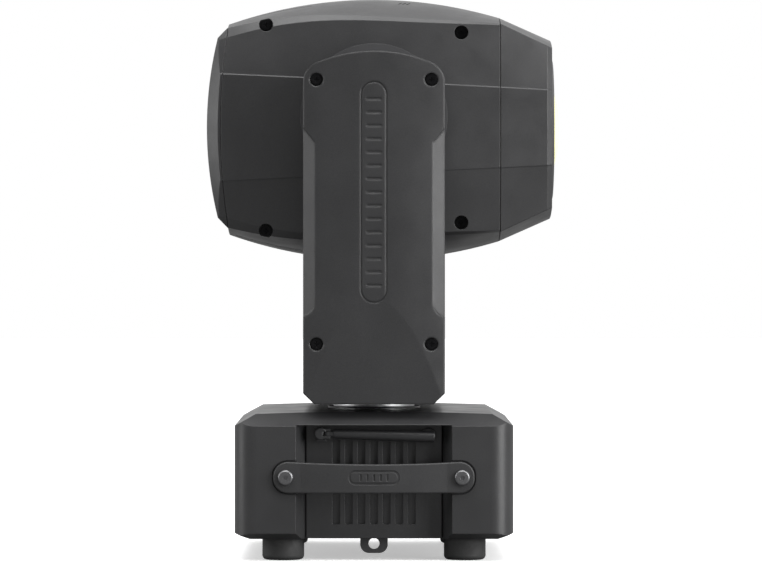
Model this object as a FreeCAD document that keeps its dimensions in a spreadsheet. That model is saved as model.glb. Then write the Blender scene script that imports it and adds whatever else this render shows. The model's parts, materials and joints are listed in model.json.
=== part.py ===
import FreeCAD, Part
import math
import os
import re
import Sketcher
from FreeCAD import Placement, Rotation, Vector

# Moving head light. Millimetres. +X is the way the beam points at rest, +Y the far arm, +Z up.
# The origin is on the floor under the pan axis. The near side is -Y.

SIZES = {
    # base
    "foot_height": 19.7, "foot_radius": 19, "foot_reach": 82.4, "foot_side": 131,
    "base_half": 126, "base_side": 170, "base_top": 132.5, "base_crown": 2,
    "base_wall": 3, "base_side_wall": 5, "base_corner": 20,
    "top_bevel_run": 19, "top_bevel_drop": 10.5, "low_bevel_run": 14, "low_bevel_rise": 5.5,
    "inner_bevel_run": 17, "inner_bevel_drop": 9.4, "inner_low_run": 19.2, "inner_low_rise": 7.5,
    "plate_thick": 2.5, "plate_half": 103, "plate_side": 141.6,
    "neck_radius": 39, "neck_ring": 43, "neck_rise": 1.2,
    "recess_mouth": 70.8, "recess_half": 61.4, "recess_back": 145, "recess_top": 123,
    "grille_thick": 3, "slot_width": 6.8, "slot_pitch": 11.4, "slot_low": 32.5, "slot_high": 109,
    "bracket_x": 106, "bracket_y": 110, "bracket_hole": 6,
    # handles
    "handle_half": 90.5, "handle_low": 62, "handle_high": 90, "handle_corner": 13,
    "handle_back": 167.5, "handle_thick": 7, "handle_bow": 4, "handle_bend": 66,
    "handle_gap": 1.3, "handle_dip": 2.1, "bolt_reach": 79.5, "bolt_radius": 4, "bolt_head": 7,
    # safety eye
    "eye_half": 12.5, "eye_low": 6, "eye_height": 14.6, "eye_hole": 5, "eye_front": 138, "eye_thick": 4,
    # end panels
    "display_half": 76, "display_low": 36, "display_high": 108, "panel_thick": 3,
    "socket_half": 90, "socket_low": 44, "socket_high": 108, "socket_pitch": 29, "socket_level": 78,
    "button_radius": 6, "button_gap": 0.3, "button_pitch": 20, "button_centre": 45, "button_level": 72,
    # pan drive
    "tube_radius": 25, "tube_bore": 20, "fit_gap": 0.05, "pan_wheel": 48, "motor_wheel": 12,
    "pan_level": 84, "belt_width": 9, "belt_thick": 2, "belt_gap": 0.3, "pan_span": 95,
    "motor_side": 56, "post_reach": 65,
    # antenna
    "aerial_x": -48, "aerial_side": 160, "aerial_height": 115, "aerial_pivot": -42,
    "aerial_length": 97, "aerial_root": 4.2, "aerial_tip": 5.1, "aerial_droop": 1.7,
    # yoke
    "yoke_low": 141.5, "arm_half": 64, "arm_shoulder": 49, "arm_shoulder_top": 451, "arm_straight": 434,
    "arm_top_arc": 137, "arm_shoulder_arc": 20, "arm_corner_run": 10.3, "arm_corner_rise": 9.9,
    "arm_face": 170, "arm_edge_face": 163.2, "arm_inner": 114, "arm_plate": 5, "arm_wall": 3,
    "arm_skin": 161, "facet_apex": 236, "facet_slope": 4,
    "flank_width": 11, "flank_depth": 8, "flank_high": 390.5, "flank_full": 377, "flank_low": 233,
    "flank_end": 220.7, "arm_screw_x": 51.8, "arm_screw_high": 434.3, "arm_screw_low": 195.9,
    "arm_screw_sink": 6, "beam_low": 150, "beam_high": 168, "beam_half": 45, "yoke_deck": 188,
    "collar_radius": 38,
    # tilt drive
    "tilt_height": 393, "axle_radius": 22, "axle_bore": 15, "bearing_radius": 32,
    "hub_radius": 60, "boss_height": 402, "boss_radius": 67, "boss_thick": 3.6,
    "hub_out": 109.5, "hub_in": 100.6, "neck_hub": 38, "tilt_wheel": 36, "tilt_pinion": 9,
    "tilt_level": 146, "tilt_span": 143,
    # head
    "head_top": 121.3, "head_arc": 400, "head_half": 100, "plan_arc": 900, "head_wall": 3,
    "crease_mid": 43, "crease_taper": 0.0485, "crease_step": 0.6, "head_seam": 116,
    "rear_seam": -140.8, "rear_corner": -134.5, "rear_corner_half": 88,
    "rear_edge": -143.5, "rear_edge_half": 82.5, "rear_bulge": -153.5, "rear_flat": 78, "rear_side": 91,
    "bezel_front": 159.2, "bezel_lip": 163.7, "lens_radius": 62, "lens_curve": 140, "lens_apex": 172.5,
    "ring_radius": 72, "ring_back": 144, "ring_front": 166.4, "seam_gap": 0.4,
    "frame_side": 83, "frame_thick": 3, "wheel_radius": 52, "wheel_offset": 42,
    "wheel_thick": 1.5, "rod_radius": 3, "rod_reach": 48,
    "shell_screw_rear": -99, "shell_screw_rear_level": 94.5, "shell_screw_front": 80,
    "shell_screw_front_level": 87, "shell_screw_sink": 6.4,
}

doc = FreeCAD.newDocument("moving_head_light")
sheet = doc.addObject("Spreadsheet::Sheet", "Sizes")
for row, (alias, number) in enumerate(SIZES.items(), start=1):
    sheet.set(f"A{row}", alias)
    sheet.set(f"B{row}", str(number))
    sheet.setAlias(f"B{row}", alias)
doc.recompute()

PARTS = []
TURN = {
    "x": Rotation(Vector(0, 1, 0), 90),
    "y": Rotation(Vector(1, 0, 0), -90),
    "z": Rotation(),
}
PLANES = {
    "XY": Rotation(),
    "XZ": Rotation(Vector(1, 0, 0), 90),
    "YZ": Rotation(Vector(0, 1, 0), Vector(0, 0, 1), Vector(1, 0, 0), "ZXY"),
}


def formula(expression):
    """Writes sheet names in an expression as references to the sheet."""
    def refer(match):
        word = match.group(0)
        return "Sizes." + word if word in SIZES else word
    return re.sub(r"[a-z][a-z_0-9]*", refer, str(expression))


def value(expression):
    return float(sheet.evalExpression(formula(expression)))


def bind(item, prop, expression):
    item.setExpression(prop, formula(expression))


def place(item, at, rotation=None):
    if rotation is not None:
        item.Placement = Placement(Vector(), rotation)
    for letter, expression in zip("xyz", at):
        bind(item, f"Placement.Base.{letter}", expression)


def box(low, high):
    """A block between two corners."""
    item = doc.addObject("Part::Box", "block")
    for prop, start, end in zip(("Length", "Width", "Height"), low, high):
        bind(item, prop, f"({end}) - ({start})")
    place(item, low)
    return item


def rod(axis, at, radius, length):
    """A cylinder that starts at a point and runs along +axis."""
    item = doc.addObject("Part::Cylinder", "rod")
    bind(item, "Radius", radius)
    bind(item, "Height", length)
    place(item, at, TURN[axis])
    return item


def taper(axis, at, radius, end_radius, length):
    item = doc.addObject("Part::Cone", "taper")
    bind(item, "Radius1", radius)
    bind(item, "Radius2", end_radius)
    bind(item, "Height", length)
    place(item, at, TURN[axis])
    return item


def fuse(*items):
    item = doc.addObject("Part::MultiFuse", "fused")
    item.Shapes = list(items)
    return item


def group(*items):
    """Several separate solids that share one node."""
    item = doc.addObject("Part::Compound", "group")
    item.Links = list(items)
    return item


def common(*items):
    item = doc.addObject("Part::MultiCommon", "overlap")
    item.Shapes = list(items)
    return item


def cut(base, *tools):
    item = doc.addObject("Part::Cut", "cut")
    item.Base = base
    item.Tool = tools[0] if len(tools) == 1 else fuse(*tools)
    return item


def mirrored(item, normal=(0, 1, 0)):
    copy = doc.addObject("Part::Mirroring", "mirrored")
    copy.Source = item
    copy.Normal = Vector(*normal)
    return copy


def arc_between(start, end, radius):
    """The shorter arc from start to end; a positive radius has its centre on the left."""
    run = Vector(end[0] - start[0], end[1] - start[1], 0)
    side = 1 if radius > 0 else -1
    left = Vector(-run.y, run.x, 0).normalize()
    rise = math.sqrt(radius * radius - run.Length ** 2 / 4)
    centre = Vector(start[0], start[1], 0) + run * 0.5 + left * (side * rise)
    first, last = (start, end) if side > 0 else (end, start)
    angles = [math.atan2(p[1] - centre.y, p[0] - centre.x) for p in (first, last)]
    circle = Part.Circle(centre, Vector(0, 0, 1), abs(radius))
    return Part.ArcOfCircle(circle, *angles)


def hold(sketch, kind, geometry, expression, vertex=None):
    """Adds a dimension to a sketch and binds it to the sheet."""
    number = value(expression)
    if vertex is None:
        index = sketch.addConstraint(Sketcher.Constraint(kind, geometry, number))
    else:
        index = sketch.addConstraint(Sketcher.Constraint(kind, -1, 1, geometry, vertex, number))
    sketch.setExpression(f"Constraints[{index}]", formula(expression))


def draw(sketch, outline):
    """Draws a closed outline of (across, up) points; a third entry bends the edge that leaves it."""
    spots = [(value(point[0]), value(point[1])) for point in outline]
    count = len(outline)
    ends = []
    for index, point in enumerate(outline):
        start, end = spots[index], spots[(index + 1) % count]
        radius = value(point[2]) if len(point) > 2 else 0
        if radius:
            edge = sketch.addGeometry(arc_between(start, end, radius))
        else:
            edge = sketch.addGeometry(Part.LineSegment(Vector(*start, 0), Vector(*end, 0)))
        ends.append((edge, 1, 2) if radius >= 0 else (edge, 2, 1))
    for index, point in enumerate(outline):
        edge, start, _ = ends[index]
        before, _, last = ends[index - 1]
        sketch.addConstraint(Sketcher.Constraint("Coincident", before, last, edge, start))
        hold(sketch, "DistanceX", edge, point[0], start)
        hold(sketch, "DistanceY", edge, point[1], start)
        if len(point) > 2:
            hold(sketch, "Radius", edge, f"abs({point[2]})")


def ring_line(sketch, across, up, radius):
    circle = Part.Circle(Vector(value(across), value(up), 0), Vector(0, 0, 1), value(radius))
    index = sketch.addGeometry(circle)
    hold(sketch, "DistanceX", index, across, 3)
    hold(sketch, "DistanceY", index, up, 3)
    hold(sketch, "Radius", index, radius)


def pad(plane, outline, low, high, holes=(), rings=()):
    """A body of one outline, with holes, between two levels along the plane's axis."""
    body = doc.addObject("PartDesign::Body", "body")
    sketch = body.newObject("Sketcher::SketchObject", "outline")
    role = plane + "_Plane"
    flat = [face for face in body.Origin.OriginFeatures if face.Role == role][0]
    sketch.AttachmentSupport = (flat, "")
    sketch.MapMode = "FlatFace"
    level = f"-({high})" if plane == "XZ" else low
    bind(sketch, "AttachmentOffset.Base.z", level)
    for line in (outline, *holes):
        if line:
            draw(sketch, line)
    for ring in rings:
        ring_line(sketch, *ring)
    feature = body.newObject("PartDesign::Pad", "pad")
    feature.Profile = sketch
    bind(feature, "Length", f"({high}) - ({low})")
    return body


def loft(sections, ruled=False, plane="YZ"):
    """A solid through outlines in planes square to X or Y, each with its place along that axis."""
    sketches = []
    for along, outline in sections:
        sketch = doc.addObject("Sketcher::SketchObject", "section")
        draw(sketch, outline)
        place(sketch, (along, "0", "0") if plane == "YZ" else ("0", along, "0"), PLANES[plane])
        sketches.append(sketch)
    item = doc.addObject("Part::Loft", "loft")
    item.Sections = sketches
    item.Solid = True
    item.Ruled = ruled
    return item


def rounded(item, radius, test, kind="Fillet"):
    """Rounds or bevels the edges of a piece that pass a test."""
    doc.recompute()
    shape = item.Shape
    names = [f"Edge{n}" for n, edge in enumerate(shape.Edges, start=1) if test(edge)]
    if item.TypeId == "PartDesign::Body":
        body, base = item, item.Tip
    else:
        body = doc.addObject("PartDesign::Body", "body")
        body.BaseFeature = item
        body.setExpression("Placement", f"{item.Name}.Placement")
        doc.recompute()
        base = body.Tip
    feature = body.newObject("PartDesign::" + kind, kind.lower())
    feature.Base = (base, names)
    bind(feature, "Radius" if kind == "Fillet" else "Size", radius)
    doc.recompute()
    return body


def at_level(level):
    """Tests whether an edge lies flat at a height."""
    def test(edge):
        return edge.BoundBox.ZLength < 0.01 and abs(edge.BoundBox.ZMin - value(level)) < 0.01
    return test


def frame_outline(across, up, width, height, corner):
    """A rectangle with round corners, centred on a point."""
    left, right = f"({across}) - ({width}) / 2", f"({across}) + ({width}) / 2"
    low, high = f"({up}) - ({height}) / 2", f"({up}) + ({height}) / 2"
    return [
        (f"{left} + {corner}", low), (f"{right} - {corner}", low, corner),
        (right, f"{low} + {corner}"), (right, f"{high} - {corner}", corner),
        (f"{right} - {corner}", high), (f"{left} + {corner}", high, corner),
        (left, f"{high} - {corner}"), (left, f"{low} + {corner}", corner),
    ]


def cross_slot(x, outside, floor, z):
    """The cross recess of a screw head that faces the near side."""
    half_long, half_wide = "2.6", "0.6"
    return fuse(box((f"{x} - {half_wide}", outside, f"{z} - {half_long}"),
                    (f"{x} + {half_wide}", floor, f"{z} + {half_long}")),
                box((f"{x} - {half_long}", outside, f"{z} - {half_wide}"),
                    (f"{x} + {half_long}", floor, f"{z} + {half_wide}")))


def name(item, label):
    """Registers a finished piece under its own name."""
    item.Label = label
    PARTS.append((label, item))
    return item


def pair(item, label):
    """The same piece on the near and far sides."""
    name(item, label + "_near")
    name(mirrored(item), label + "_far")


# ---------------------------------------------------------------- base

def base_block(inset_end, inset_side, top, bevel_run, bevel_drop, low_run, low_rise):
    """The base's outer or inner form: crowned top, bevelled all round above and below."""
    half, side = f"(base_half - {inset_end})", f"(base_side - {inset_side})"
    slant_up, slant_low = f"({top} - {bevel_drop})", f"(foot_height + {low_rise})"
    crown = f"((({half} - {bevel_run})^2 + base_crown^2) / (2 * base_crown))"
    length = pad("XZ", [
        (f"-{half} + {low_run}", "foot_height"), (f"{half} - {low_run}", "foot_height"),
        (half, slant_low), (half, slant_up), (f"{half} - {bevel_run}", top, crown),
        (f"-{half} + {bevel_run}", top), (f"-{half}", slant_up), (f"-{half}", slant_low),
    ], f"-{side}", side)
    reach = f"({side} - {bevel_run} * ({bevel_drop} + base_crown + 1) / {bevel_drop})"
    across = pad("YZ", [
        (f"-{side} + {low_run}", "foot_height"), (f"{side} - {low_run}", "foot_height"),
        (side, slant_low), (side, slant_up), (reach, f"{top} + base_crown + 1"),
        (f"-{reach}", f"{top} + base_crown + 1"), (f"-{side}", slant_up), (f"-{side}", slant_low),
    ], f"-{half}", half)
    plan = pad("XY", frame_outline("0", "0", f"2 * {half}", f"2 * {side}", "base_corner"),
               "foot_height", f"{top} + base_crown")
    return common(length, across, plan)


def recess(extra, top):
    """The hand recess of the near side, as a solid."""
    return pad("XY", [
        (f"-recess_mouth - {extra}", "-base_side - 1"), (f"recess_mouth + {extra}", "-base_side - 1"),
        (f"recess_half + {extra}", f"-recess_back + {extra}"),
        (f"-recess_half - {extra}", f"-recess_back + {extra}"),
    ], "foot_height - 1", top)


def make_base_cover():
    outer = base_block("0", "0", "base_top", "top_bevel_run", "top_bevel_drop",
                       "low_bevel_run", "low_bevel_rise")
    inner = base_block("base_wall", "base_side_wall", "base_top - base_wall", "inner_bevel_run",
                       "inner_bevel_drop", "inner_low_run", "inner_low_rise")
    big = recess("base_wall", "recess_top + base_wall")
    cavity = cut(inner, big, mirrored(big))
    small = recess("0", "recess_top")
    seat = pad("XZ", frame_outline(
        "0", "(handle_low + handle_high) / 2", "2 * handle_half + 2 * handle_gap",
        "handle_high - handle_low + 2 * handle_gap", "handle_corner + handle_gap"),
        "-base_side - 1", "-handle_back")
    near = [small, seat]
    for side in ("-bolt_reach", "bolt_reach"):
        near.append(rod("y", (side, "-base_side", "(handle_low + handle_high) / 2"),
                        "bolt_radius + 0.1", "12"))
    openings = [box(("base_half - 8", "-display_half", "display_low"),
                    ("base_half + 1", "display_half", "display_high")),
                box(("-base_half - 1", "-socket_half", "socket_low"),
                    ("-base_half + 8", "socket_half", "socket_high")),
                rod("z", ("0", "0", "base_top - 10"), "neck_radius", "20")]
    ring = rod("z", ("0", "0", "base_top - 1"), "neck_ring", "base_crown + neck_rise + 1")
    name(cut(fuse(outer, ring), cavity, *near, *[mirrored(item) for item in near], *openings), "base_cover")


def make_base_plate():
    top = "foot_height + plate_thick"
    plate = pad("XY", frame_outline("0", "0", "2 * plate_half", "2 * plate_side", "8"),
                "foot_height", top,
                rings=[(f"{a}bracket_x / 2", f"{b}bracket_y / 2", "bracket_hole")
                       for a in ("-", "") for b in ("-", "")])
    slot = box(("-eye_half - 0.2", "-eye_front - 0.2", "0"),
               ("eye_half + 0.2", "-eye_front + eye_thick + 0.2", "foot_height + 9"))
    name(cut(plate, slot), "base_plate")


def make_grilles():
    slots = [frame_outline(f"{n} * slot_pitch", "(slot_low + slot_high) / 2", "slot_width",
                           "slot_high - slot_low", "1.5") for n in range(-3, 4)]
    plate = pad("XZ", [("-recess_half + 0.2", "foot_height + 0.3"),
                       ("recess_half - 0.2", "foot_height + 0.3"),
                       ("recess_half - 0.2", "recess_top - 0.2"),
                       ("-recess_half + 0.2", "recess_top - 0.2")],
                "-recess_back - grille_thick", "-recess_back", holes=slots)
    rest = rod("y", ("49", "-recess_back - grille_thick - 6.4", "aerial_height - 2"), "6.4", "7")
    ledge = box(("aerial_x - 4.2", "-recess_back - grille_thick - 5.5", "aerial_height - 7.5"),
                ("aerial_x + 4.6", "-recess_back - 1", "aerial_height - 5.2"))
    name(fuse(plate, rest, ledge), "side_grille_near")
    name(mirrored(plate), "side_grille_far")


def make_handles():
    back, front = "-handle_back", "-handle_back - handle_thick"
    bow = "(handle_bend^2 + handle_bow^2) / (2 * handle_bow)"
    strap = pad("XY", [
        ("-handle_half", front), ("-handle_bend", front, bow), ("handle_bend", front),
        ("handle_half", front), ("handle_half", back), ("handle_bend", back, f"-({bow})"),
        ("-handle_bend", back), ("-handle_half", back),
    ], "handle_low", "handle_high")
    middle = "(handle_low + handle_high) / 2"
    line = frame_outline("0", middle, "2 * handle_half", "handle_high - handle_low", "handle_corner")
    span = "(handle_half - handle_corner)"
    line[4] = (*line[4], f"-({span}^2 + handle_dip^2) / (2 * handle_dip)")
    face = pad("XZ", line, "-base_side - 20", "-base_side + 10")
    badge = pad("XZ", frame_outline("0", middle, "46", "13", "6"), f"{front} - 6",
                f"{front} - handle_bow + 0.8", holes=[frame_outline("0", middle, "42", "9", "4")])
    bars = [box((f"{n} - 0.8", f"{front} - 6", f"{middle} - 3"),
                (f"{n} + 0.8", f"{front} - handle_bow + 0.7", f"{middle} + 3"))
            for n in (-12, -6, 0, 6, 12)]
    bores = [rod("y", (x, "-base_side - 10", middle), "bolt_radius + 0.1", "20")
             for x in ("-bolt_reach", "bolt_reach")]
    strap = rounded(common(strap, face), "1.2", lambda edge: edge.BoundBox.YMax < value(front) + 0.01
                    and edge.BoundBox.YLength < 5 and edge.BoundBox.XLength > 5)
    pair(cut(strap, badge, *bars, *bores), "handle")


def make_handle_bolts():
    middle, front = "(handle_low + handle_high) / 2", "-handle_back - handle_thick"
    bolts = []
    for x in ("-bolt_reach", "bolt_reach"):
        head = rod("y", (x, f"{front} - 4.4", middle), "bolt_head", "4.4")
        head = rounded(head, "2.2", lambda edge: edge.BoundBox.YMax < value(front) - 4)
        shank = rod("y", (x, front, middle), "bolt_radius", "18")
        key = pad("XZ", [(f"{x} + 2.4 * cos({60 * n})", f"{middle} + 2.4 * sin({60 * n})")
                         for n in range(6)], f"{front} - 6", f"{front} - 2")
        bolt = cut(fuse(head, shank), key)
        bolts += [bolt, mirrored(bolt)]
    name(group(*bolts), "handle_bolts")


def make_feet():
    feet = []
    for x in ("-foot_reach", "foot_reach"):
        for y in ("-foot_side", "foot_side"):
            foot = rounded(rod("z", (x, y, "0"), "foot_radius", "foot_height"), "4", at_level("0"))
            feet.append(cut(foot, rod("z", (x, y, "0"), "6", "7")))
    name(group(*feet), "rubber_feet")


def make_safety_eye():
    eye = pad("XZ", [
        ("-eye_half", "foot_height + 25"), ("-eye_half", "eye_low + 8", "8"),
        ("-eye_half + 8", "eye_low"), ("eye_half - 8", "eye_low", "8"),
        ("eye_half", "eye_low + 8"), ("eye_half", "foot_height + 25"),
    ], "-eye_front", "-eye_front + eye_thick", rings=[("0", "eye_height", "eye_hole")])
    name(eye, "safety_eye")


def button_spots():
    for label, column, row in (("menu", 0, 1), ("up", 1, 1), ("enter", 0, 0), ("down", 1, 0)):
        yield (label, f"button_centre + ({column} - 0.5) * button_pitch",
               f"button_level + ({row} - 0.5) * button_pitch")


def make_display():
    back = "base_half - base_wall - panel_thick"
    panel = pad("YZ", frame_outline("0", "(display_low + display_high) / 2", "2 * display_half + 8",
                                    "display_high - display_low + 8", "3"),
                back, f"{back} + panel_thick", holes=[frame_outline("-20", "button_level", "84", "46", "2")],
                rings=[(y, z, "button_radius + button_gap") for _, y, z in button_spots()])
    name(panel, "display_panel")
    window = pad("YZ", frame_outline("-20", "button_level", "83.6", "45.6", "1.8"),
                 back, f"{back} + panel_thick - 0.6")
    name(window, "display_window")
    for label, y, z in button_spots():
        cap = rod("x", (f"{back} - 1.2", y, z), "button_radius", "7.2")
        cap = rounded(cap, "1", lambda edge: edge.BoundBox.XMin > value(back) + 5)
        name(fuse(cap, rod("x", (f"{back} - 3", y, z), "button_radius + 1.6", "2.4")), "button_" + label)


def make_control_board():
    front = "base_half - 18"
    board = box((front, "-display_half + 2", "display_low"),
                (f"{front} + 1.6", "display_half - 2", "display_high"))
    screen = box((f"{front} + 1.6", "-58", "button_level - 20"),
                 (f"{front} + 9.5", "18", "button_level + 20"))
    switches = [rod("x", (f"{front} + 1.6", y, z), "3.2", "5.4") for _, y, z in button_spots()]
    chips = [box((f"{front} - 4", f"{y}", f"{z}"), (front, f"{y + 14}", f"{z + 14}"))
             for y, z in ((-50, 50), (-20, 70), (10, 48), (40, 74))]
    name(fuse(board, screen, *switches, *chips), "control_board")


def make_connectors():
    front = "-base_half + base_wall"
    panel = pad("YZ", frame_outline("0", "(socket_low + socket_high) / 2", "2 * socket_half + 8",
                                    "socket_high - socket_low + 8", "3"),
                front, f"{front} + panel_thick",
                rings=[(f"{n - 2.5} * socket_pitch", "socket_level", "12") for n in range(6)])
    name(panel, "connector_panel")
    power, data = [], []
    for n in range(6):
        y = f"{n - 2.5} * socket_pitch"
        flange = pad("YZ", frame_outline(y, "socket_level", "26", "31", "3"), f"{front} - 2", front)
        body = fuse(flange, rod("x", (front, y, "socket_level"), "11.8", "24"))
        if n < 2:
            mouth = rod("x", (f"{front} - 3", y, "socket_level"), "8.5", "17")
            power.append(cut(body, mouth))
        else:
            groove = cut(rod("x", (f"{front} - 3", y, "socket_level"), "10", "11"),
                         rod("x", (f"{front} - 4", y, "socket_level"), "8.6", "13"))
            pins = [rod("x", (f"{front} - 3", f"{y} + 4 * cos({a})", f"socket_level + 4 * sin({a})"),
                        "1.3", "12") for a in (90, 210, 330)]
            data.append(cut(body, groove, *pins))
    name(group(*power), "power_sockets")
    name(group(*data), "data_sockets")


def make_power_supply():
    floor = "foot_height + plate_thick"
    case = box(("-85", "-128", floor), ("85", "-78", f"{floor} + 46"))
    vents = [box((f"{n * 14} - 4", "-129", f"{floor} + 10"), (f"{n * 14} + 4", "-127", f"{floor} + 36"))
             for n in range(-5, 6)]
    terminals = box(("85", "-120", f"{floor} + 8"), ("96", "-86", f"{floor} + 22"))
    name(fuse(cut(case, *vents), terminals), "power_supply")


def make_pan_drive():
    floor = "foot_height + plate_thick"
    under = "base_top - base_wall - 0.5"
    plate = pad("XY", frame_outline("0", "0", "150", "150", "10"), f"{under} - 4", under,
                rings=[("0", "0", "tube_radius + fit_gap")])
    race = cut(rod("z", ("0", "0", f"{under} - 24"), "40", "20"),
               rod("z", ("0", "0", f"{under} - 25"), "tube_radius + fit_gap", "30"))
    posts = [rod("z", (f"{a}post_reach", f"{b}post_reach", floor), "5", f"{under} - 4 - {floor}")
             for a in ("-", "") for b in ("-", "")]
    name(fuse(plate, race, *posts), "pan_bearing")

    half = "motor_side / 2"
    case = pad("XY", frame_outline("0", "pan_span", "motor_side", "motor_side", "5"), floor,
               "pan_level - 6")
    shaft = rod("z", ("0", "pan_span", "pan_level - 6"), "4", "belt_width + 10")
    boss = rod("z", ("0", "pan_span", "pan_level - 6"), "10", "1.6")
    bites = [rod("z", (f"{a}({half} - 4)", f"pan_span {b} ({half} - 4)", f"pan_level - 11"), "2.2", "6")
             for a in ("-", "") for b in ("-", "+")]
    name(fuse(cut(case, *bites), shaft, boss), "pan_motor")
    name(pulley("z", ("0", "pan_span"), "pan_level", "motor_wheel", "4 + fit_gap"), "pan_motor_pulley")
    name(belt("z", ("0", "0"), "pan_span", "pan_level", "pan_wheel", "motor_wheel"), "pan_belt")

    tube = cut(rod("z", ("0", "0", "60"), "tube_radius", "beam_low - 60"),
               rod("z", ("0", "0", "50"), "tube_bore", "beam_low - 40"))
    flange = cut(rod("z", ("0", "0", "beam_low - 4"), "36", "4"),
                 rod("z", ("0", "0", "beam_low - 5"), "tube_bore", "6"))
    wheel = pulley("z", ("0", "0"), "pan_level", "pan_wheel", "tube_bore + 1")
    name(fuse(tube, flange, wheel), "pan_spindle")
    collar = cut(rod("z", ("0", "0", "base_top + base_crown - 0.7"), "collar_radius",
                     "yoke_low - base_top - base_crown + 0.7"),
                 rod("z", ("0", "0", "base_top - 2"), "tube_radius + 0.1", "20"))
    name(rounded(collar, "3", lambda edge: edge.BoundBox.ZMax < value("base_top + base_crown")
                 and edge.BoundBox.XLength > value("tube_radius * 2 + 5")), "yoke_collar")


def pulley(axis, centre, level, radius, bore):
    """A flanged belt pulley; the belt runs between the flanges."""
    def disc(start, size, length):
        return rod(axis, spot(axis, centre, f"{level} + {start}"), size, length)
    rims = [disc("0", f"{radius} - 1.5", "belt_width + 1"), disc("-1", radius, "1"),
            disc("belt_width + 1", radius, "1")]
    return cut(fuse(*rims), disc("-2", bore, "belt_width + 4"))


def spot(axis, centre, level):
    """A point from its two places across an axis and its level along it."""
    if axis == "z":
        return (centre[0], centre[1], level)
    return (centre[0], level, centre[1])


def belt(axis, centre, span, level, big, small):
    """A belt round a big pulley at the centre and a small one, which is up Y or down Z from it."""
    far = (centre[0], f"{centre[1]} + {span}") if axis == "z" else (centre[0], f"{centre[1]} - {span}")
    sign = "+" if axis == "z" else "-"

    def loop(extra, low, high):
        large, little = f"({big} - 1.5 + {extra})", f"({small} - 1.5 + {extra})"
        lean = f"(({large} - {little}) / {span})"
        wide = f"sqrt(1 - {lean}^2)"
        length = f"({high}) - ({low})"
        near_up = f"{centre[1]} {sign} {large} * {lean}"
        far_up = f"{far[1]} {sign} {little} * {lean}"
        points = [(f"{centre[0]} - {large} * {wide}", near_up), (f"{centre[0]} + {large} * {wide}", near_up),
                  (f"{centre[0]} + {little} * {wide}", far_up), (f"{centre[0]} - {little} * {wide}", far_up)]
        plane = "XY" if axis == "z" else "XZ"
        return fuse(rod(axis, spot(axis, centre, low), large, length),
                    rod(axis, spot(axis, far, low), little, length), pad(plane, points, low, high))
    outer = loop("belt_gap + belt_thick - 0.5", f"{level} + 0.4", f"{level} + belt_width + 0.6")
    inner = loop("belt_gap", f"{level} - 1", f"{level} + belt_width + 2")
    return cut(outer, inner)


def make_antenna():
    back = "-recess_back - grille_thick"
    socket = fuse(rod("y", ("aerial_x", f"{back} - 2", "aerial_height"), "5", "2"),
                  rod("y", ("aerial_x", f"{back} - 4.5", "aerial_height"), "3.2", "4.5"))
    name(socket, "antenna_socket")
    middle = "-aerial_side"
    drum = rod("y", ("aerial_x", f"{middle} - 5.2", "aerial_height"), "5.6", "10.4")
    drum = rounded(drum, "1.2", lambda edge: edge.BoundBox.YLength < 0.01)
    neck = box(("aerial_x", f"{middle} - 3.8", "aerial_height - 4.6"),
               ("aerial_pivot + 2.6", f"{middle} + 3.8", "aerial_height + 4.6"))
    clevis = box(("aerial_pivot - 4.6", f"{middle} - 6", "aerial_height - 2.2"),
                 ("aerial_pivot + 4", f"{middle} + 6", "aerial_height + 2.2"))
    hole = rod("y", ("aerial_x", f"{middle} + 3", "aerial_height"), "3.25", "3")
    pin = rod("z", ("aerial_pivot", middle, "aerial_height - 4.6"), "1.2", "9.2")
    name(fuse(cut(fuse(drum, neck), clevis, hole), pin), "antenna_knuckle")
    tongue = rod("z", ("aerial_pivot", middle, "aerial_height - 1.9"), "3.6", "3.8")
    bridge = box(("aerial_pivot", f"{middle} - 3.4", "aerial_height - 1.9"),
                 ("aerial_pivot + 9", f"{middle} + 3.4", "aerial_height + 1.9"))
    eye = rod("z", ("aerial_pivot", middle, "aerial_height - 4"), "1.3", "8")
    stem = taper("x", ("aerial_pivot + 5.8", middle, "aerial_height"), "aerial_root", "aerial_tip",
                 "aerial_length - 5.8")
    stem = rounded(stem, "1", lambda edge: edge.BoundBox.XMin > 40)
    whip = cut(fuse(tongue, bridge, stem), eye)
    pivot = Vector(value("aerial_pivot"), -value("aerial_side"), value("aerial_height"))
    whip.Placement = Placement(Vector(), Rotation(Vector(0, 1, 0), value("aerial_droop")), pivot)
    name(whip, "antenna_whip")


# ---------------------------------------------------------------- yoke

def arm_outline(inset):
    half, low = f"(arm_half - ({inset}))", f"(yoke_low + ({inset}))"
    return [
        (f"-{half} + arm_corner_run", low), (f"{half} - arm_corner_run", low),
        (half, f"{low} + arm_corner_rise"), (half, "arm_straight", f"arm_shoulder_arc - ({inset})"),
        (f"arm_shoulder - ({inset}) * 0.55", f"arm_shoulder_top - ({inset}) * 0.85",
         f"arm_top_arc - ({inset})"),
        (f"-arm_shoulder + ({inset}) * 0.55", f"arm_shoulder_top - ({inset}) * 0.85",
         f"arm_shoulder_arc - ({inset})"),
        (f"-{half}", "arm_straight"), (f"-{half}", f"{low} + arm_corner_rise"),
    ]


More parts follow.
